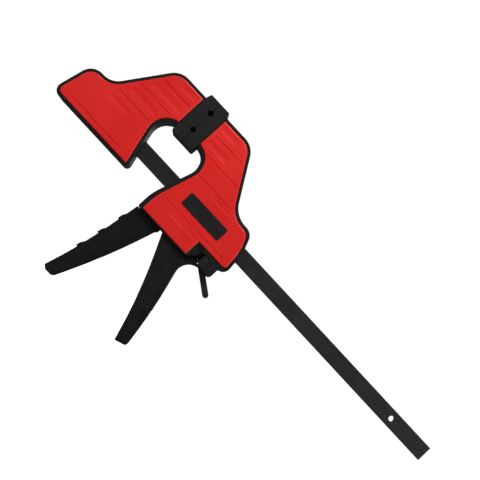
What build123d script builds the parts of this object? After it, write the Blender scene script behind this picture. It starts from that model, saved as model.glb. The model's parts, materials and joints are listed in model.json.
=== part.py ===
from build123d import *
import math
import os

# One-handed trigger bar clamp, in millimetres.
# X runs along the bar from the fixed jaw to the bar's free end, Z from the bar to the jaw tips,
# and the front of the clamp faces -Y. Outlines are drawn in the XZ plane with z = 0 on the bar's axis,
# and every node is lowered by JAW_REACH when it is written, which puts the origin at the middle
# of the fixed jaw's clamping face.

# Driving dimensions
JAW_REACH = 68.0          # bar axis to the middle of the clamping faces
BAR_HEIGHT = 19.0
BAR_THICKNESS = 6.0
BAR_START = -126.0        # end of the bar inside the fixed jaw
BAR_END = 443.0
BAR_HOLE_X = BAR_END - 54.4
BAR_HOLE_RADIUS = 3.3
STOP_X = BAR_END - 12     # stamped stop near the free end
STOP_RADIUS = 3.2
STOP_HEIGHT = 0.8
BAR_CLEARANCE = 0.25      # between the bar and what slides along it
ANCHOR_PINS = [-100.0, -45.0]
ANCHOR_RADIUS = 2.5       # pins that hold the bar in the fixed jaw

PAD_WIDTH = 38.0
PAD_THICKNESS = 16.2
PAD_BOTTOM = 38.2
PAD_TOP = 98.2
PAD_GAP = 0.15            # between the two pads when the jaws are closed
GROOVE_HEIGHTS = (56.2, 83.0)
GROOVE_HALF_HEIGHT = 4.0
GROOVE_DEPTH = 4.0
GROOVE_WEB = 2.0          # thin wall left across each groove on the mid-plane
TONGUE_WIDTH = 22.0       # jaw tip that the pad slips over
TONGUE_DEPTH = 8.0
TONGUE_BOTTOM = 51.0
TONGUE_TOP = 84.0

FIXED_WIDTH = 36.0        # fixed jaw frame, across Y
FIXED_RIBS = [-95.0, -72.0, -50.0]
HOUSING_WIDTH = 34.0      # moving jaw housing, across Y
GRIP_WIDTH = 26.0
EDGE = 1.2                # rounding of the outer edges of frame, housing and grip
GRIP_RECESS = 1.0
GRIP_RIM = 2.4
WALL = 2.5
RIM = 3.7                 # black border left around the fixed jaw's red panel
PANEL_SEAT = 1.0          # how deep a panel sits in its jaw
PANEL_PROUD = 1.5         # how far it stands out
PANEL_EDGE = 1.3          # rounding of a panel's edge
SLAT_TOP = 70.2           # highest of the thin lines across a panel
SLAT_PITCH = 22.0
SLAT_WIDTH = 1.0
BAND_WIDTH = 9.0          # shallow hollow halfway between two lines
BAND_DEPTH = 0.35
RAISED_WIDTH = 2.2        # low rounded ridges on the moving jaw's panel, as (z, x limits)
RAISED_HEIGHT = 0.18
RAISED_LINES = [(18.0, 70.0, 106.0), (-28.3, 46.5, 90.0)]
BADGE_X = 80.0
BADGE_Z = -0.6
BADGE_LENGTH = 58.2
BADGE_HEIGHT = 17.4
BADGE_CORNER = 2.2
BADGE_THICKNESS = 1.2
BADGE_SEAT = 0.8

SCREW_HEAD_RADIUS = 2.9
SCREW_HEAD_HEIGHT = 2.0
SCREW_RADIUS = 1.5
SCREW_HEAD_DEPTH = 2.0    # from the panel's face down to the top of the head
BOSS_RADIUS = 3.6
FIXED_SCREWS = [(-42.0, 71.5), (-108.0, 17.0), (-46.0, -18.0)]
HOUSING_SCREWS = [(34.0, 74.0), (77.0, 44.0), (126.0, -17.0), (90.0, -34.0), (107.5, -122.0), (115.5, -152.0)]

TRIGGER_WIDTH = 18.0
TRIGGER_EDGE = 2.0
TRIGGER_WALL = 3.2
CHANNEL_X = 84.0          # floor of the channel that the squeezed trigger nests into
TRIGGER_PIVOT = (46.0, 20.0)
TRIGGER_PIN_RADIUS = 3.0
TRIGGER_SQUEEZE = 20.0    # degrees
FORK_WIDTH = 7.2          # slot in the trigger that straddles the bar
NOSE_REACH = 12.0         # from the pivot's plane back to the nose that pushes the plates

PLATE_THICKNESS = 3.0
PLATE_WIDTH = 20.0
PLATES_X = TRIGGER_PIVOT[0] + NOSE_REACH + 0.3
RIB_X = 98.3              # fixed rib that the drive spring pushes against
RIB_THICKNESS = 2.7
END_WALL_X = 125.4        # wall at the housing's free end that the brake spring pushes against

LEVER_HUB = (114.9, -34.6)
HUB_RADIUS = 6.5
HUB_FLAT = 3.0            # from the hub's centre to its flat
HUB_CLEARANCE = 0.08
BRAKE_TILT = 5.0          # degrees, top of the brake plate towards the jaws
TAIL_THICKNESS = 7.0
TAIL_DIMPLE = 1.0         # radius of the shallow dimple in each side of the tail's tip
TAIL_WIDTH = 15.0
TAIL_START = (122.9, -44.4)
TAIL_TIP = (144.5, -58.9)

OVERSIZE = 200.0          # larger than the clamp is wide, for cutting right through


def outline(corners):
    """Face in the XZ plane from (x, z, corner radius) corners, taken in order."""
    points = [(x, z) for x, z, _ in corners]
    radii = [r for _, _, r in corners]
    edges = FilletPolyline(*points, radius=radii, close=True)
    return make_face(Plane.XZ * edges)


def slab(face, near, far):
    """Solid from y = near to y = far over a face drawn in the XZ plane."""
    return Pos(0, near, 0) * extrude(face, amount=far - near, dir=(0, 1, 0))


def block(x, y, z):
    """Box between pairs of limits."""
    size = [high - low for low, high in (x, y, z)]
    centre = [(high + low) / 2 for low, high in (x, y, z)]
    return Pos(*centre) * Box(*size)


def rod(x, z, radius, near, far):
    """Cylinder along Y."""
    return Pos(x, (near + far) / 2, z) * Rot(90, 0, 0) * Cylinder(radius, far - near)


def rounded_slab(face, near, far, radius):
    """A slab whose edge on the near side is rounded."""
    solid = slab(face, near, far)
    return fillet(solid.faces().sort_by(Axis.Y)[0].edges(), radius)


def inset(face, amount):
    """The same outline drawn in by an amount."""
    return offset(face, amount=-amount, kind=Kind.INTERSECTION)


def mirrored(shape):
    """The same piece on the other side of the mid-plane."""
    return mirror(shape, about=Plane.XZ)


def bar_slot(x, grow=BAR_CLEARANCE):
    """Space of the bar over a stretch of x, with clearance."""
    half_y = BAR_THICKNESS / 2 + grow
    half_z = BAR_HEIGHT / 2 + grow
    return block(x, (-half_y, half_y), (-half_z, half_z))


# Outlines, as (x, z, corner radius). The jaws are drawn as far as the clamping plane and cut back later.
FIXED_OUTLINE = [
    (0, 91.2, 0),
    (-57.0, 91.2, 22.5),
    (-100.3, 24.6, 21.8),
    (-128.4, 24.6, 18.0),
    (-139.6, -28.1, 9.2),
    (-18.3, -28.1, 5.3),
    (-38.6, 46.8, 20.5),
    (0, 46.8, 0),
]

HOUSING_OUTLINE = [
    (0, 92.6, 0),
    (58.5, 92.6, 22.2),
    (103.1, 25.8, 28.5),
    (129.1, 25.8, 13.0),
    (139.4, 2.2, 66),
    (142.1, -25.6, 8.0),
    (133.4, -29.7, 2.5),
    (133.4, -44.1, 4.7),
    (99.0, -44.1, 0),
    (96.7, -46.4, 0),
    (20.5, -46.4, 2.5),
    (20.5, -25.5, 66),
    (41.6, 46.8, 20.2),
    (0, 46.8, 0),
]

# The moving jaw's red panel, with a step that leaves the release lever's pocket clear
MOVING_PANEL_OUTLINE = [
    (0, 88.6, 0),
    (56.8, 88.6, 18.8),
    (101.4, 21.6, 31.5),
    (126.5, 21.6, 11.3),
    (135.4, 2.1, 66),
    (138.3, -23.9, 4.4),
    (95.9, -23.9, 0.6),
    (95.9, -44.3, 1.3),
    (25.9, -44.3, 1.3),
    (25.9, -24.5, 66),
    (46.6, 50.6, 23.2),
    (0, 50.6, 0),
]

GRIP_OUTLINE = [
    (58.6, -43.2, 0),
    (68.3, -31.0, 0),
    (122.4, -37.1, 0),
    (122.4, -44.0, 0),
    (96.2, -44.0, 17),
    (117.6, -115.5, 600),
    (125.8, -161.3, 3.5),
    (112.0, -166.2, 1.3),
    (90.2, -103.6, 600),
]

# Ends of the trigger's front edge below the housing, and how far it bows in between them
FRONT_TOP = (19.9, -46.65)
FRONT_BOTTOM = (-2.6, -166.1)
FRONT_BOW = 2.8
TRIGGER_OUTLINE = [
    (38.0, 28.0, 8),
    (34.5, -5.0, 8),
    (25.5, -27.0, 10),
    (24.3, FRONT_TOP[1], 0.6),
    (FRONT_TOP[0], FRONT_TOP[1], 1.1),
    (9.8, -119.2, 600),
    (FRONT_BOTTOM[0], FRONT_BOTTOM[1], 1.3),
    (1.9, -169.5, 2.8),
    (12.5, -169.2, 3.5),
    (37.6, -112.2, 790),
    (53.6, -53.2, 3),
    (56.2, -50.0, 2),
    (56.2, -44.0, 2),
    (47.0, -36.0, 3),
    (47.0, -24.5, 2),
    (58.0, -24.5, 9),
    (58.0, -4.5, 9),
    (54.0, 3.0, 3),
    (54.0, 28.0, 8),
]

# Raised ridges on the trigger's front: heights where each starts and ends
RIDGE_TOPS = [-60.4 - 27.1 * i for i in range(4)]
RIDGE_LENGTH = 11.7
RIDGE_RISE = 2.2
RIDGE_EDGE = 1.0

# Deep blind slot in each side of the housing beside the lever's hub, and a shallow recess around it
SLOT_OUTLINE = [
    (107.6, -29.8, 1.1),
    (LEVER_HUB[0], -29.8, 0),
    (LEVER_HUB[0], -41.6, 0),
    (110.9, -42.0, 1.1),
    (100.8, -50.6, 1.1),
    (96.0, -45.9, 1.1),
    (105.6, -35.9, 2.2),
]
POCKET_OUTLINE = [
    (101.0, -28.3, 1.1),
    (LEVER_HUB[0], -28.3, 0),
    (LEVER_HUB[0], -37.3, 0),
    (101.0, -41.9, 0),
]
POCKET_DEPTH = 1.4
SLOT_FLOOR = 9.4          # from the mid-plane out to the slot's floor
SLOT_WALL = 1.8


# Fixed jaw and bar
def make_bar():
    bar = block(
        (BAR_START, BAR_END), (-BAR_THICKNESS / 2, BAR_THICKNESS / 2), (-BAR_HEIGHT / 2, BAR_HEIGHT / 2)
    )
    bar = chamfer(bar.edges().filter_by(Axis.X), length=0.5)
    bar -= rod(BAR_HOLE_X, 0, BAR_HOLE_RADIUS, -BAR_THICKNESS, BAR_THICKNESS)
    half = BAR_THICKNESS / 2
    bar += rod(STOP_X, 0, STOP_RADIUS, -half - STOP_HEIGHT, -half)
    bar -= rod(STOP_X, 0, STOP_RADIUS, half - STOP_HEIGHT, half)
    for x in ANCHOR_PINS:
        bar -= rod(x, 0, ANCHOR_RADIUS, -BAR_THICKNESS, BAR_THICKNESS)
    return bar


def tongue(side):
    """Narrow jaw tip inside the pad; side is -1 for the fixed jaw and 1 for the moving jaw."""
    back = side * PAD_THICKNESS
    front = side * (PAD_THICKNESS - TONGUE_DEPTH)
    x = (min(back, front), max(back, front))
    return block(x, (-TONGUE_WIDTH / 2, TONGUE_WIDTH / 2), (TONGUE_BOTTOM, TONGUE_TOP))


def panel_face(area, side):
    """A red panel's area, stopping short of the pad."""
    pad_back = PAD_THICKNESS + 1.0
    x = (-pad_back, 30) if side < 0 else (-30, pad_back)
    cutter = Plane.XZ * Pos((x[0] + x[1]) / 2, 70) * Rectangle(x[1] - x[0], 60)
    return area - cutter


def make_panel(face, half_width, lines, bands):
    """Front panel: a plate with a rounded edge, standing proud of its seat, with thin lines across it
    and a shallow hollow band between them. Each line or band is (steps below the top line, x limits)."""
    outer = -half_width - PANEL_PROUD
    panel = rounded_slab(face, outer, -half_width + PANEL_SEAT, PANEL_EDGE)
    for step, left, right in lines:
        z = SLAT_TOP - step * SLAT_PITCH
        line = Rot(45, 0, 0) * Box(right - left, SLAT_WIDTH, SLAT_WIDTH)
        panel -= Pos((left + right) / 2, outer, z) * line
    radius = BAND_WIDTH**2 / (8 * BAND_DEPTH)
    for step, left, right in bands:
        z = SLAT_TOP - step * SLAT_PITCH
        hollow = Rot(0, 90, 0) * Cylinder(radius, right - left)
        panel -= Pos((left + right) / 2, outer - radius + BAND_DEPTH, z) * hollow
    return panel


def raised_lines(outer):
    """Low rounded ridges standing on a panel's outer face, sunk a little into it."""
    radius = (RAISED_WIDTH**2 / 4 + RAISED_HEIGHT**2) / (2 * RAISED_HEIGHT)
    ridges = []
    for z, left, right in RAISED_LINES:
        rounded = Rot(0, 90, 0) * Cylinder(radius, right - left)
        rounded = Pos((left + right) / 2, outer - RAISED_HEIGHT + radius, z) * rounded
        ridges.append(rounded & block((left, right), (outer - 1, outer + RAISED_HEIGHT), (z - 3, z + 3)))
    return ridges


def screws(places, half_width):
    """Cross-head screws driven from the back: heads near the back face, tips in the front half."""
    head_top = half_width + PANEL_PROUD - SCREW_HEAD_DEPTH
    made = []
    for x, z in places:
        head_half = head_top
        if z < -60:
            head_half = GRIP_WIDTH / 2 - SCREW_HEAD_DEPTH
        neck = head_half - SCREW_HEAD_HEIGHT
        screw = rod(x, z, SCREW_HEAD_RADIUS, neck, head_half) + rod(x, z, SCREW_RADIUS, 6 - half_width, neck)
        for size in ((3.4, 0.8), (0.8, 3.4)):
            screw -= Pos(x, head_half, z) * Box(size[0], 2.0, size[1])
        made.append(screw)
    return made


def screw_holes(places, half_width):
    """What the screws need cut from the parts they pass through."""
    head_top = half_width + PANEL_PROUD - SCREW_HEAD_DEPTH
    cut = []
    for x, z in places:
        head_half = head_top
        if z < -60:
            head_half = GRIP_WIDTH / 2 - SCREW_HEAD_DEPTH
        neck = head_half - SCREW_HEAD_HEIGHT
        cut.append(rod(x, z, SCREW_HEAD_RADIUS + 0.1, neck, OVERSIZE))
        cut.append(rod(x, z, SCREW_RADIUS, 6 - half_width, neck))
    return cut


def jaw_core(face, half_width, side):
    """Outline at full width, ending at the pad's back, with the narrow tip that goes inside the pad."""
    core = rounded_slab(face, -half_width, 0, EDGE)
    core += mirrored(core)
    pad_back = PAD_THICKNESS
    x = (-pad_back, 30) if side < 0 else (-30, pad_back)
    core -= block(x, (-OVERSIZE, OVERSIZE), (0, 120))
    return core + tongue(side)


def make_fixed_frame(face, seat):
    half = FIXED_WIDTH / 2
    frame = jaw_core(face, half, -1)
    pocket = inset(face, RIM + WALL) - Plane.XZ * Pos(0, 70) * Rectangle(2 * (PAD_THICKNESS + 4), 60)
    pocket_cut = slab(pocket, -half, -BAR_THICKNESS) - block((-200, 0), (-20, 0), (-13, 13))
    for x, z in FIXED_SCREWS:
        pocket_cut -= rod(x, z, BOSS_RADIUS, -half, 0)
    for x in FIXED_RIBS:
        pocket_cut -= block((x - 1, x + 1), (-half, 0), (-60, 120))
    seat_cut = slab(seat, -half, -half + PANEL_SEAT)
    for cut in (pocket_cut, seat_cut):
        frame -= cut
        frame -= mirrored(cut)
    bar_half = BAR_THICKNESS / 2
    frame -= block((BAR_START, 0), (-bar_half, bar_half), (-BAR_HEIGHT / 2, BAR_HEIGHT / 2))
    for x in ANCHOR_PINS:
        frame -= rod(x, 0, ANCHOR_RADIUS, -half + 3, half - 3)
    for cut in screw_holes(FIXED_SCREWS, half):
        frame -= cut
    return frame


def make_pad(side):
    """Soft pad with two V grooves across its face and a socket for the jaw tip."""
    front = 0.0 if side < 0 else PAD_GAP
    back = side * PAD_THICKNESS
    half = PAD_WIDTH / 2
    corners = [
        (front, PAD_BOTTOM, 0.6),
        (back, PAD_BOTTOM, 2.5),
        (back, PAD_TOP - 5.5, 3),
        (back - side * 1.8, PAD_TOP, 1.6),
        (front, PAD_TOP, 0.6),
    ]
    pad = rounded_slab(outline(corners), -half, 0, 1.0)
    pad += mirrored(pad)
    for z in GROOVE_HEIGHTS:
        corners = [
            (front, z - GROOVE_HALF_HEIGHT, 0),
            (front + side * GROOVE_DEPTH, z, 0),
            (front, z + GROOVE_HALF_HEIGHT, 0),
            (front - side, z, 0),
        ]
        groove = slab(outline(corners), -half - 1, -GROOVE_WEB / 2)
        pad -= groove
        pad -= mirrored(groove)
    return pad - tongue(side)


def anchor_pins():
    half = FIXED_WIDTH / 2 - 3
    return [rod(x, 0, ANCHOR_RADIUS, -half, half) for x in ANCHOR_PINS]


# Moving jaw
def inner_parts():
    """Walls and bosses that stand inside the housing, as far in as the mid-plane."""
    depth = -HOUSING_WIDTH / 2 + 1.5
    pin_x, pin_z = TRIGGER_PIVOT
    parts = [
        rod(pin_x, pin_z, 6.0, depth, -TRIGGER_WIDTH / 2 - 0.4),
        block((RIB_X, RIB_X + RIB_THICKNESS), (depth, 0), (-20, 30)),
        block((20, 30.3), (depth, 0), (-12.5, 12.5)),
        block((END_WALL_X, 142), (depth, 0), (-12.5, 30)),
        block((CHANNEL_X, CHANNEL_X + 2.4), (depth, 0), (-104, -46)),
        rod(LEVER_HUB[0], LEVER_HUB[1], HUB_RADIUS + 2.6, depth, -PLATE_WIDTH / 2 - 0.6),
    ]
    for x, z in HOUSING_SCREWS:
        parts.append(rod(x, z, BOSS_RADIUS, depth, 0))
    return parts


def slot_cup():
    """Walls and floor around the blind slot, kept clear of the lever and its plate."""
    walls = offset(outline(SLOT_OUTLINE), amount=SLOT_WALL)
    cup = slab(walls, 1.5 - HOUSING_WIDTH / 2, SLOT_WALL - SLOT_FLOOR)
    return cup & block((0, LEVER_HUB[0] - HUB_FLAT), (-OVERSIZE, 0), (-100, 0))


def make_housing_front(housing_face, grip_face, seat):
    """Front half of the housing and of the grip, hollow, with its ribs and bosses."""
    half = HOUSING_WIDTH / 2
    grip_half = GRIP_WIDTH / 2
    grip = rounded_slab(grip_face, -grip_half, 0, EDGE)
    recess = inset(grip_face, GRIP_RIM) - Plane.XZ * Rectangle(400, 94)
    grip -= slab(recess, -grip_half, -grip_half + GRIP_RECESS)
    shell = rounded_slab(housing_face, -half, 0, EDGE) + grip
    solid = shell
    end_wall = Plane.XZ * Pos(0, 70) * Rectangle(2 * (PAD_THICKNESS + WALL), 60)
    shell -= slab(inset(housing_face, WALL) - end_wall, -half + PANEL_SEAT + WALL, 0)
    shell -= slab(inset(grip_face, WALL), -grip_half + GRIP_RECESS + WALL, 0)
    opening = (-TRIGGER_WIDTH / 2 - 0.75, 0)
    shell -= block((22.3, CHANNEL_X), opening, (-100, -30))
    for part in inner_parts() + [slot_cup()]:
        shell += part & solid
    shell -= block((0, PAD_THICKNESS), (-OVERSIZE, OVERSIZE), (0, 120))
    shell += tongue(1) & block((0, 40), (-OVERSIZE, 0), (0, 120))
    shell -= slab(seat, -half, -half + PANEL_SEAT)
    shell -= bar_slot((-20, 160))
    shell -= slab(outline(SLOT_OUTLINE), -OVERSIZE, -SLOT_FLOOR)
    shell -= slab(outline(POCKET_OUTLINE), -OVERSIZE, -half + POCKET_DEPTH)
    shell -= rod(LEVER_HUB[0], LEVER_HUB[1], HUB_RADIUS + HUB_CLEARANCE, -OVERSIZE, 0)
    shell -= tail_opening()
    shell -= rod(TRIGGER_PIVOT[0], TRIGGER_PIVOT[1], TRIGGER_PIN_RADIUS, -half + 2.5, 0)
    return shell


def tail_opening():
    """Slot in the housing's floor that the release lever's tail swings in."""
    half = TAIL_WIDTH / 2 + 0.6
    return block((LEVER_HUB[0] - 7.5, 130.5), (-half, half), (-49, -25.5))


def make_housing(housing_face, grip_face, seat):
    front = make_housing_front(housing_face, grip_face, seat)
    back = mirrored(front)
    for cut in screw_holes(HOUSING_SCREWS, HOUSING_WIDTH / 2):
        front -= cut
        back -= cut
    return front, back


def make_badge(half_width):
    outer = -half_width - PANEL_PROUD + BADGE_SEAT
    plate = block(
        (BADGE_X - BADGE_LENGTH / 2, BADGE_X + BADGE_LENGTH / 2),
        (outer - BADGE_THICKNESS, outer),
        (BADGE_Z - BADGE_HEIGHT / 2, BADGE_Z + BADGE_HEIGHT / 2),
    )
    return fillet(plate.edges().filter_by(Axis.Y), radius=BADGE_CORNER)


def coil(radius, wire, length, turns, start, height):
    """Compression spring along X, with its centre line at the given height."""
    path = Helix(pitch=(length - wire) / turns, height=length - wire, radius=radius)
    section = Plane(path @ 0, z_dir=path % 0) * Circle(wire / 2)
    spring = sweep(section, path=path)
    return Pos(start + wire / 2, 0, height) * Rot(0, 90, 0) * spring


# Trigger and drive
def make_trigger():
    half = TRIGGER_WIDTH / 2
    face = outline(TRIGGER_OUTLINE)
    body = rounded_slab(face, -half, 0, TRIGGER_EDGE)
    for top in RIDGE_TOPS:
        body += ridge(top)
    body += mirrored(body)
    hollow = inset(face, TRIGGER_WALL) - Plane.XZ * Pos(0, 60) * Rectangle(400, 230)
    back_cut = hollow + Pos(9, 0, 0) * hollow
    body -= slab(back_cut, -half + TRIGGER_WALL, half - TRIGGER_WALL)
    pin_x, pin_z = TRIGGER_PIVOT
    slope = math.tan(math.radians(TRIGGER_SQUEEZE))
    fork = outline(
        [
            (0, -10.8, 0),
            (40.7, -10.8, 0),
            (80, -10.8 - 39.3 * slope, 0),
            (80, 60, 0),
            (0, 60, 0),
        ]
    )
    body -= slab(fork, -FORK_WIDTH / 2, FORK_WIDTH / 2)
    return body - rod(pin_x, pin_z, TRIGGER_PIN_RADIUS + 0.05, -half, half)


def trigger_front(z):
    """Where the trigger's bowed front edge is at a height."""
    share = (FRONT_TOP[1] - z) / (FRONT_TOP[1] - FRONT_BOTTOM[1])
    straight = FRONT_TOP[0] + (FRONT_BOTTOM[0] - FRONT_TOP[0]) * share
    return straight + FRONT_BOW * 4 * share * (1 - share)


def ridge(top):
    """One raised finger ridge on the trigger's front."""
    bottom = top - RIDGE_LENGTH
    corners = [
        (trigger_front(top) + 3, top, 0),
        (trigger_front(top), top, 0),
        (trigger_front(top - 6) - RIDGE_RISE, top - 6, 6),
        (trigger_front(bottom) - RIDGE_RISE, bottom, 0.6),
        (trigger_front(bottom) + 3, bottom, 0),
    ]
    return rounded_slab(outline(corners), -TRIGGER_WIDTH / 2, 0, RIDGE_EDGE)


def make_drive_plate(index):
    x = PLATES_X + index * PLATE_THICKNESS
    half = PLATE_WIDTH / 2
    plate = block((x, x + PLATE_THICKNESS), (-half, half), (-24, 17))
    plate = fillet(plate.edges().filter_by(Axis.X), radius=3)
    return plate - bar_slot((x, x + PLATE_THICKNESS), 0.2)


def make_brake_plate():
    """Steel plate leaning towards the jaws, with a taller slot so that it can tilt on the bar."""
    half = PLATE_WIDTH / 2
    low, high = 3.0, 51.5
    hub_x, hub_z = LEVER_HUB
    plate = block((-PLATE_THICKNESS / 2, PLATE_THICKNESS / 2), (-half, half), (low, high))
    plate = fillet(plate.edges().filter_by(Axis.X), radius=2.5)
    middle = -hub_z / math.cos(math.radians(BRAKE_TILT))
    plate -= Pos(0, 0, middle) * Box(20, BAR_THICKNESS + 0.6, BAR_HEIGHT + 1.2)
    return Pos(hub_x, 0, hub_z) * Rot(0, -BRAKE_TILT, 0) * plate


def make_release_lever(brake_plate):
    """Hub with flats, an arm that holds the brake plate, and the tail that the thumb presses."""
    hub_x, hub_z = LEVER_HUB
    reach = HOUSING_WIDTH / 2 - 0.8
    lever = rod(hub_x, hub_z, HUB_RADIUS, -reach, reach)
    flat = block((hub_x - 20, hub_x - HUB_FLAT), (-OVERSIZE, -SLOT_FLOOR), (hub_z - 20, hub_z + 20))
    lever -= flat
    lever -= mirrored(flat)
    arm = Pos(hub_x, 0, hub_z) * Rot(0, -BRAKE_TILT, 0) * block((-4, 4), (-7.2, 7.2), (0, 19))
    lever += arm
    half = TAIL_WIDTH / 2
    run = TAIL_TIP[0] - TAIL_START[0]
    drop = TAIL_TIP[1] - TAIL_START[1]
    slope = math.degrees(math.atan2(drop, run))
    root_x, root_z = hub_x, TAIL_START[1] - (TAIL_START[0] - hub_x) * drop / run
    length = math.hypot(TAIL_TIP[0] - root_x, TAIL_TIP[1] - root_z)
    tail = block((0, length), (-half, half), (-TAIL_THICKNESS / 2, TAIL_THICKNESS / 2))
    tail += rod(length, 0, TAIL_THICKNESS / 2, -half, half)
    dimple = rod(length, 0, TAIL_DIMPLE, -half - 1, -half + 1.5)
    tail -= dimple
    tail -= mirrored(dimple)
    lever += Pos(root_x, 0, root_z) * Rot(0, -slope, 0) * tail
    return lever - brake_plate


def write(name, *shapes):
    """One STEP file per node, in the clamp's own frame."""
    solids = [solid for shape in shapes for solid in shape.solids()]
    lowered = [Pos(0, 0, -JAW_REACH) * solid for solid in solids]
    node = lowered[0] if len(lowered) == 1 else Compound(children=lowered)
    node.label = name
    export_step(node, f"parts/{name}.step")


def main():
    os.makedirs("parts", exist_ok=True)
    fixed_face = outline(FIXED_OUTLINE)
    housing_face = outline(HOUSING_OUTLINE)
    grip_face = outline(GRIP_OUTLINE)

    fixed_lines = [(0, -62, -20), (1, -77, -29), (2, -88, -42), (4, -115, -40)]
    fixed_bands = [(-0.5, -44, -21), (0.5, -66, -23), (1.5, -80, -41), (2.5, -89, -60)]
    moving_lines = [(0, 22, 64), (1, 30, 81), (2, 42, 95), (4, 31, 128)]
    moving_bands = [(-0.5, 22, 46), (0.5, 22, 53)]
    fixed_area = panel_face(inset(fixed_face, RIM), -1)
    moving_area = panel_face(outline(MOVING_PANEL_OUTLINE), 1)
    fixed_panel = make_panel(fixed_area, FIXED_WIDTH / 2, fixed_lines, fixed_bands)
    moving_panel = make_panel(moving_area, HOUSING_WIDTH / 2, moving_lines, moving_bands)
    moving_panel += raised_lines(-HOUSING_WIDTH / 2 - PANEL_PROUD)
    badge = make_badge(HOUSING_WIDTH / 2)
    moving_panel -= badge

    fixed_back = mirrored(fixed_panel)
    for cut in screw_holes(FIXED_SCREWS, FIXED_WIDTH / 2):
        fixed_back -= cut
    moving_back = mirrored(moving_panel)
    for cut in screw_holes(HOUSING_SCREWS, HOUSING_WIDTH / 2):
        moving_back -= cut

    write("bar", make_bar())
    write("fixed_jaw_frame", make_fixed_frame(fixed_face, fixed_area))
    write("fixed_jaw_front_panel", fixed_panel)
    write("fixed_jaw_back_panel", fixed_back)
    write("fixed_jaw_pad", make_pad(-1))
    write("bar_anchor_pins", *anchor_pins())
    write("fixed_jaw_screws", *screws(FIXED_SCREWS, FIXED_WIDTH / 2))

    front, back = make_housing(housing_face, grip_face, moving_area)
    write("housing_front", front)
    write("housing_back", back)
    write("moving_jaw_front_panel", moving_panel)
    write("moving_jaw_back_panel", moving_back)
    write("front_badge", badge)
    write("back_badge", mirrored(badge))
    write("moving_jaw_pad", make_pad(1))
    write("housing_screws", *screws(HOUSING_SCREWS, HOUSING_WIDTH / 2))
    pin_reach = HOUSING_WIDTH / 2 - 2.5
    pin_x, pin_z = TRIGGER_PIVOT
    write("trigger_pivot_pin", rod(pin_x, pin_z, TRIGGER_PIN_RADIUS, -pin_reach, pin_reach))
    spring_start = PLATES_X + 2 * PLATE_THICKNESS
    write("drive_spring", coil(11.4, 1.6, RIB_X - spring_start, 7, spring_start, 0))
    write("brake_spring", coil(2.8, 0.8, 12.0, 7, END_WALL_X - 12.1, 13.4))

    write("trigger", make_trigger())
    write("front_drive_plate", make_drive_plate(0))
    write("rear_drive_plate", make_drive_plate(1))
    brake_plate = make_brake_plate()
    write("brake_plate", brake_plate)
    write("release_lever", make_release_lever(brake_plate))


main()
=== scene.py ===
import json
import math

import bpy
from mathutils import Matrix, Vector


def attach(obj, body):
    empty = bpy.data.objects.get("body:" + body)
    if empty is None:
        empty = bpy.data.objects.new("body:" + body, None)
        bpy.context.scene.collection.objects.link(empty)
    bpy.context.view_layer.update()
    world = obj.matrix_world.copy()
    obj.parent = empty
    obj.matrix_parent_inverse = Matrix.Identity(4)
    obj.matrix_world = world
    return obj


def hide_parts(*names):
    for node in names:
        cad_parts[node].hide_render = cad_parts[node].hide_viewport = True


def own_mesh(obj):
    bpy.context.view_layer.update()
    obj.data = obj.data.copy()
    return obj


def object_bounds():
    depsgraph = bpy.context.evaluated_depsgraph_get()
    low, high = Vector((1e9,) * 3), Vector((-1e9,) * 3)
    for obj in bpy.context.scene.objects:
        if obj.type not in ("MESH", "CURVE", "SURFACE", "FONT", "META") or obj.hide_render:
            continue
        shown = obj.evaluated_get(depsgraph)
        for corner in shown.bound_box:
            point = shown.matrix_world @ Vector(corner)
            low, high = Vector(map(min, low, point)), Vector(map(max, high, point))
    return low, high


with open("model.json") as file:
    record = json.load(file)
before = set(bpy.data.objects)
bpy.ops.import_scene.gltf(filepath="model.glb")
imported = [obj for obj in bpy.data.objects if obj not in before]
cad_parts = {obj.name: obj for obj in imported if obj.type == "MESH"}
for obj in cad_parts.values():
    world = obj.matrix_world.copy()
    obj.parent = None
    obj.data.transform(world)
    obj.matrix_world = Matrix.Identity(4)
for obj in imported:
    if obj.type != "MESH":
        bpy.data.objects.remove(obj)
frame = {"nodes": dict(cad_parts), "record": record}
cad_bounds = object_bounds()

# Looks of the one-handed bar clamp. Metres, in the CAD frame: X along the bar from the fixed jaw
# to the bar's free end, Z from the bar to the jaw tips, front of the clamp towards -Y.

NODES = frame["nodes"]

# Camera: almost square to the front of the clamp, rolled so that the bar runs down to the right.
CAMERA_PLACE = (0.1256, -1.2, -0.128)
CAMERA_PITCH = math.radians(3.43)   # tipped up
CAMERA_ROLL = math.radians(47.19)
CAMERA_LENS = 79.98                 # millimetres
CAMERA_SENSOR = 36                  # millimetres

FLOOR_DROP = 0.001                  # gap between the lowest point and the floor
FLOOR_SIZE = 2.4
FLOOR_GLOW = 0.75                   # keeps the pale floor as white as the backdrop behind it
BACKDROP = 1.05                     # just past white, so that noise doesn't show
AMBIENT = 0.15                      # light from the surroundings; the camera sees them as white

SOFTBOXES = [
    # name, offset from the clamp's middle, size, watts
    ("key", (-0.1, -0.85, 1.2), 1.0, 24),
    ("side", (1.35, -0.75, 0.15), 0.9, 13),
    ("low", (-1.2, -0.9, -0.05), 0.8, 5),
    ("rim", (0.2, 1.3, 0.9), 1.2, 12),
]

# The two springs' CAD sizes, to stand in for them with coil meshes
BAR_Z = -0.068
SPRINGS = [
    # node, first end, last end (also the end that stays put), height, coil radius, wire, joint, length kept
    ("drive_spring", 0.0643, 0.0983, BAR_Z, 0.0114, 0.0016, "drive_plates_slide", 0.647),
    ("brake_spring", 0.1133, 0.1253, BAR_Z + 0.0134, 0.0028, 0.0008, "release_press", 0.47),
]
SPRING_TURNS = 7
SPRING_CLOSING = 0.4                # how much closer the turns are at the ends, 0 for even turns
STEPS_PER_TURN = 28
WIRE_SIDES = 10


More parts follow.
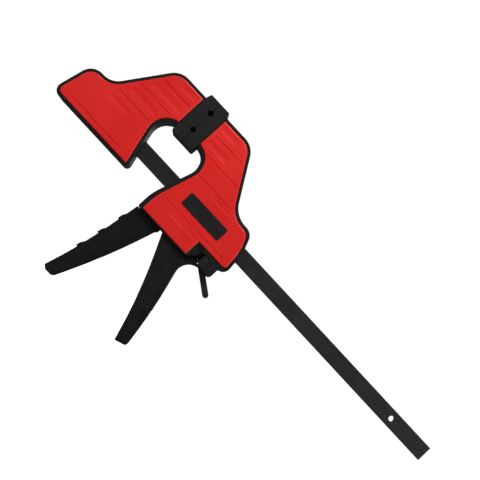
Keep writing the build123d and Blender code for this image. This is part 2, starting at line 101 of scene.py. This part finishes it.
# Materials
class Shader:
    """A Principled material being put together, with short calls for the nodes it needs."""

    def __init__(self, name, colour, roughness, **sockets):
        self.material = bpy.data.materials.new(name)
        self.material.use_nodes = True
        self.tree = self.material.node_tree
        self.bsdf = self.tree.nodes["Principled BSDF"]
        self.bsdf.inputs["Base Color"].default_value = (*colour, 1)
        self.bsdf.inputs["Roughness"].default_value = roughness
        for socket, value in sockets.items():
            self.bsdf.inputs[socket.replace("_", " ")].default_value = value
        self.place = self.node("ShaderNodeTexCoord").outputs["Object"]

    def node(self, kind, **settings):
        made = self.tree.nodes.new(kind)
        for name, value in settings.items():
            setattr(made, name, value)
        return made

    def link(self, output, target):
        self.tree.links.new(output, target)

    def stretched(self, scale):
        """Object coordinates scaled separately along X, Y and Z."""
        mapping = self.node("ShaderNodeMapping")
        mapping.inputs["Scale"].default_value = scale
        self.link(self.place, mapping.inputs["Vector"])
        return mapping.outputs["Vector"]

    def noise(self, scale, detail=2.0, roughness=0.5, place=None):
        made = self.node("ShaderNodeTexNoise")
        made.inputs["Scale"].default_value = scale
        made.inputs["Detail"].default_value = detail
        made.inputs["Roughness"].default_value = roughness
        self.link(place or self.place, made.inputs["Vector"])
        return made.outputs["Fac"]

    def ranged(self, value, low, high, to_low, to_high):
        """A value's stretch from low to high, remapped and clamped."""
        made = self.node("ShaderNodeMapRange")
        limits = {"From Min": low, "From Max": high, "To Min": to_low, "To Max": to_high}
        for socket, number in limits.items():
            made.inputs[socket].default_value = number
        self.link(value, made.inputs["Value"])
        return made.outputs["Result"]

    def mixed(self, factor, first, second):
        """Colour between two colours or outputs."""
        made = self.node("ShaderNodeMix", data_type="RGBA")
        self.link(factor, made.inputs["Factor"])
        for socket, value in zip((made.inputs[6], made.inputs[7]), (first, second)):
            if isinstance(value, tuple):
                socket.default_value = (*value, 1)
            else:
                self.link(value, socket)
        return made.outputs[2]

    def colour(self, output):
        self.link(output, self.bsdf.inputs["Base Color"])

    def roughness(self, output):
        self.link(output, self.bsdf.inputs["Roughness"])

    def bump(self, *layers):
        """Bump layers, each (height output, distance in metres, strength), one on top of the other."""
        normal = None
        for height, distance, strength in layers:
            made = self.node("ShaderNodeBump")
            made.inputs["Distance"].default_value = distance
            made.inputs["Strength"].default_value = strength
            self.link(height, made.inputs["Height"])
            if normal:
                self.link(normal, made.inputs["Normal"])
            normal = made.outputs["Normal"]
        self.link(normal, self.bsdf.inputs["Normal"])


def black_nylon(name, colour, roughness):
    """Moulded glass-filled nylon: a fine spark-eroded grain over a faint mottling."""
    shader = Shader(name, colour, roughness, Specular_IOR_Level=0.16)
    grain = shader.noise(1700, detail=3)
    mottle = shader.noise(60, detail=4)
    light = tuple(1.45 * c for c in colour)
    dark = tuple(0.75 * c for c in colour)
    shader.colour(shader.mixed(shader.ranged(mottle, 0.3, 0.7, 0, 1), dark, light))
    shader.roughness(shader.ranged(mottle, 0.3, 0.7, roughness - 0.06, roughness + 0.06))
    shader.bump((grain, 0.00012, 0.5), (mottle, 0.0003, 0.15))
    return shader.material


def red_plastic():
    """Satin moulded panel, with a very fine grain and slightly uneven gloss."""
    shader = Shader("red_plastic", (0.62, 0.016, 0.014), 0.42, Specular_IOR_Level=0.25, Coat_Weight=0.3)
    shader.bsdf.inputs["Coat Roughness"].default_value = 0.14
    cloud = shader.noise(22, detail=3)
    grain = shader.noise(1500, detail=2)
    flow = shader.noise(14, detail=2, place=shader.stretched((1, 1, 5)))
    deep, bright = (0.56, 0.008, 0.007), (0.64, 0.013, 0.010)
    shader.colour(shader.mixed(shader.ranged(cloud, 0.3, 0.7, 0, 1), deep, bright))
    shader.roughness(shader.ranged(flow, 0.3, 0.7, 0.37, 0.5))
    shader.bump((grain, 0.00006, 0.35), (flow, 0.0004, 0.1))
    return shader.material


def coated_steel():
    """The bar: black coated steel, drawn along its length, with a few fine rub marks."""
    shader = Shader("black_steel", (0.018, 0.020, 0.019), 0.42, Metallic=0.1, Specular_IOR_Level=0.3)
    drawn = shader.noise(900, detail=2, place=shader.stretched((0.02, 1, 1)))
    rubs = shader.noise(260, detail=5, roughness=0.7, place=shader.stretched((0.05, 1, 1)))
    cloud = shader.noise(35, detail=3)
    dark, pale, rubbed = (0.0095, 0.0115, 0.0108), (0.015, 0.0175, 0.0165), (0.075, 0.078, 0.077)
    base = shader.mixed(shader.ranged(cloud, 0.3, 0.7, 0, 1), dark, pale)
    shader.colour(shader.mixed(shader.ranged(rubs, 0.62, 0.8, 0, 0.5), base, rubbed))
    shader.roughness(shader.ranged(drawn, 0.3, 0.7, 0.36, 0.5))
    shader.bump((drawn, 0.00005, 0.35), (cloud, 0.0003, 0.1))
    return shader.material


def pad_rubber():
    """Soft pad: dull, slightly dusty rubber."""
    shader = Shader("pad_rubber", (0.012, 0.011, 0.012), 0.68, Specular_IOR_Level=0.18)
    grain = shader.noise(1100, detail=4, roughness=0.6)
    dust = shader.noise(45, detail=5, roughness=0.65)
    clean, dusty = (0.0055, 0.0047, 0.0050), (0.011, 0.0095, 0.010)
    shader.colour(shader.mixed(shader.ranged(dust, 0.35, 0.75, 0, 1), clean, dusty))
    shader.roughness(shader.ranged(dust, 0.3, 0.7, 0.6, 0.76))
    shader.bump((grain, 0.00015, 0.4))
    return shader.material


def badge_plastic():
    """Plain gloss nameplate with fine wipe marks."""
    shader = Shader("badge_plastic", (0.010, 0.009, 0.010), 0.25, Specular_IOR_Level=0.4)
    wipe = shader.noise(300, detail=4, place=shader.stretched((0.2, 1, 1)))
    cloud = shader.noise(80, detail=2)
    shader.colour(shader.mixed(cloud, (0.008, 0.007, 0.008), (0.013, 0.012, 0.013)))
    shader.roughness(shader.ranged(wipe, 0.3, 0.7, 0.2, 0.33))
    shader.bump((cloud, 0.0002, 0.06))
    return shader.material


def bare_steel(name, colour, roughness, direction):
    """Ground or drawn steel, brushed along one direction."""
    shader = Shader(name, colour, roughness, Metallic=1.0)
    brushed = shader.noise(1400, detail=3, place=shader.stretched(direction))
    tint = shader.noise(120, detail=3)
    dark = tuple(0.7 * c for c in colour)
    shader.colour(shader.mixed(shader.ranged(tint, 0.3, 0.7, 0, 1), dark, colour))
    shader.roughness(shader.ranged(brushed, 0.3, 0.7, roughness - 0.08, roughness + 0.1))
    shader.bump((brushed, 0.00005, 0.4))
    return shader.material


MATERIALS = {
    "black_steel": coated_steel(),
    "black_nylon": black_nylon("black_nylon", (0.0056, 0.0053, 0.0056), 0.52),
    "trigger_nylon": black_nylon("trigger_nylon", (0.0046, 0.0044, 0.0049), 0.5),
    "lever_nylon": black_nylon("lever_nylon", (0.012, 0.012, 0.0125), 0.45),
    "red_plastic": red_plastic(),
    "pad_rubber": pad_rubber(),
    "badge_plastic": badge_plastic(),
    "pin_steel": bare_steel("pin_steel", (0.55, 0.55, 0.56), 0.3, (1, 0.05, 1)),
    "screw_steel": bare_steel("screw_steel", (0.11, 0.11, 0.115), 0.4, (1, 0.2, 1)),
    "spring_steel": bare_steel("spring_steel", (0.45, 0.45, 0.46), 0.32, (1, 1, 1)),
    "plate_steel": bare_steel("plate_steel", (0.40, 0.40, 0.41), 0.35, (1, 1, 0.05)),
}


def spring_mesh(name, start, end, height, radius, wire):
    """Coil along X whose turns close up towards both ends, as a mesh."""
    steps, sides = SPRING_TURNS * STEPS_PER_TURN, WIRE_SIDES
    span = end - start - wire
    corners, faces = [], []
    for i in range(steps + 1):
        share = i / steps
        along = share - SPRING_CLOSING * math.sin(2 * math.pi * share) / (2 * math.pi)
        angle = 2 * math.pi * SPRING_TURNS * share
        outward = Vector((0, math.cos(angle), math.sin(angle)))
        centre = Vector((start + wire / 2 + span * along, 0, height)) + radius * outward
        for k in range(sides):
            turn = 2 * math.pi * k / sides
            offset = math.cos(turn) * outward + math.sin(turn) * Vector((1, 0, 0))
            corners.append(centre + wire / 2 * offset)
    for i in range(steps):
        for k in range(sides):
            a, b = i * sides + k, i * sides + (k + 1) % sides
            faces.append((a, b, b + sides, a + sides))
    faces.append(tuple(range(sides)))
    faces.append(tuple(steps * sides + k for k in reversed(range(sides))))
    mesh = bpy.data.meshes.new(name)
    mesh.from_pydata(corners, [], faces)
    mesh.shade_smooth()
    return mesh


def add_springs():
    """Spring coils in place of the CAD nodes, carried by the moving jaw."""
    for node, start, end, height, radius, wire, joint, keep in SPRINGS:
        mesh = spring_mesh(node + "_coil", start, end, height, radius, wire)
        coil = bpy.data.objects.new(node + "_coil", mesh)
        bpy.context.scene.collection.objects.link(coil)
        coil.data.materials.append(MATERIALS["spring_steel"])
        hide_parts(node)
        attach(coil, "moving_jaw")
        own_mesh(coil)


def paint_cad_nodes():
    """Give every CAD node the material of its slot in the record."""
    for part in frame["record"]["subparts"]:
        node = NODES[part["node"]]
        node.data.materials.clear()
        node.data.materials.append(MATERIALS[part["material_slot"]])


def stage_and_light():
    low, high = (Vector(corner) for corner in cad_bounds)
    centre = (low + high) / 2
    bpy.ops.mesh.primitive_plane_add(size=FLOOR_SIZE, location=(centre.x, centre.y, low.z - FLOOR_DROP))
    floor = bpy.context.object
    floor.name = "floor"
    shader = Shader("pale_floor", (0.9, 0.9, 0.9), 0.8, Emission_Strength=FLOOR_GLOW)
    shader.bsdf.inputs["Emission Color"].default_value = (1, 1, 1, 1)
    shader.colour(shader.mixed(shader.noise(3), (0.88, 0.88, 0.88), (0.92, 0.92, 0.92)))
    floor.data.materials.append(shader.material)
    floor.visible_diffuse = False
    floor.visible_glossy = False
    white_surroundings()
    for name, offset, size, power in SOFTBOXES:
        softbox(name, offset, centre, size, power)


def white_surroundings():
    """Backdrop that is plain white to look at but gives only a little light."""
    world = bpy.context.scene.world or bpy.data.worlds.new("studio")
    bpy.context.scene.world = world
    world.use_nodes = True
    nodes, links = world.node_tree.nodes, world.node_tree.links
    ambient = nodes["Background"]
    ambient.inputs["Color"].default_value = (1, 1, 1, 1)
    ambient.inputs["Strength"].default_value = AMBIENT
    backdrop = nodes.new("ShaderNodeBackground")
    backdrop.inputs["Color"].default_value = (1, 1, 1, 1)
    backdrop.inputs["Strength"].default_value = BACKDROP
    path = nodes.new("ShaderNodeLightPath")
    mix = nodes.new("ShaderNodeMixShader")
    links.new(path.outputs["Is Camera Ray"], mix.inputs[0])
    links.new(ambient.outputs[0], mix.inputs[1])
    links.new(backdrop.outputs[0], mix.inputs[2])
    links.new(mix.outputs[0], nodes["World Output"].inputs["Surface"])


def softbox(name, offset, target, size, power):
    """Square area light at an offset from the target, aimed at it."""
    light = bpy.data.lights.new(name, "AREA")
    light.size = size
    light.energy = power
    lamp = bpy.data.objects.new(name, light)
    lamp.location = Vector(target) + Vector(offset)
    lamp.rotation_euler = (Vector(target) - lamp.location).to_track_quat("-Z", "Y").to_euler()
    bpy.context.scene.collection.objects.link(lamp)


def add_camera():
    data = bpy.data.cameras.new("camera")
    data.sensor_width = CAMERA_SENSOR
    data.lens = CAMERA_LENS
    camera = bpy.data.objects.new("camera", data)
    forward = Vector((0, math.cos(CAMERA_PITCH), math.sin(CAMERA_PITCH)))
    level = Vector((1, 0, 0))
    rise = level.cross(forward)
    right = math.cos(CAMERA_ROLL) * level + math.sin(CAMERA_ROLL) * rise
    up = right.cross(forward)
    matrix = Matrix((right, up, -forward)).transposed().to_4x4()
    matrix.translation = Vector(CAMERA_PLACE)
    camera.matrix_world = matrix
    bpy.context.scene.collection.objects.link(camera)
    bpy.context.scene.camera = camera


paint_cad_nodes()
add_springs()
stage_and_light()
add_camera()
bpy.context.scene.view_settings.view_transform = "Standard"
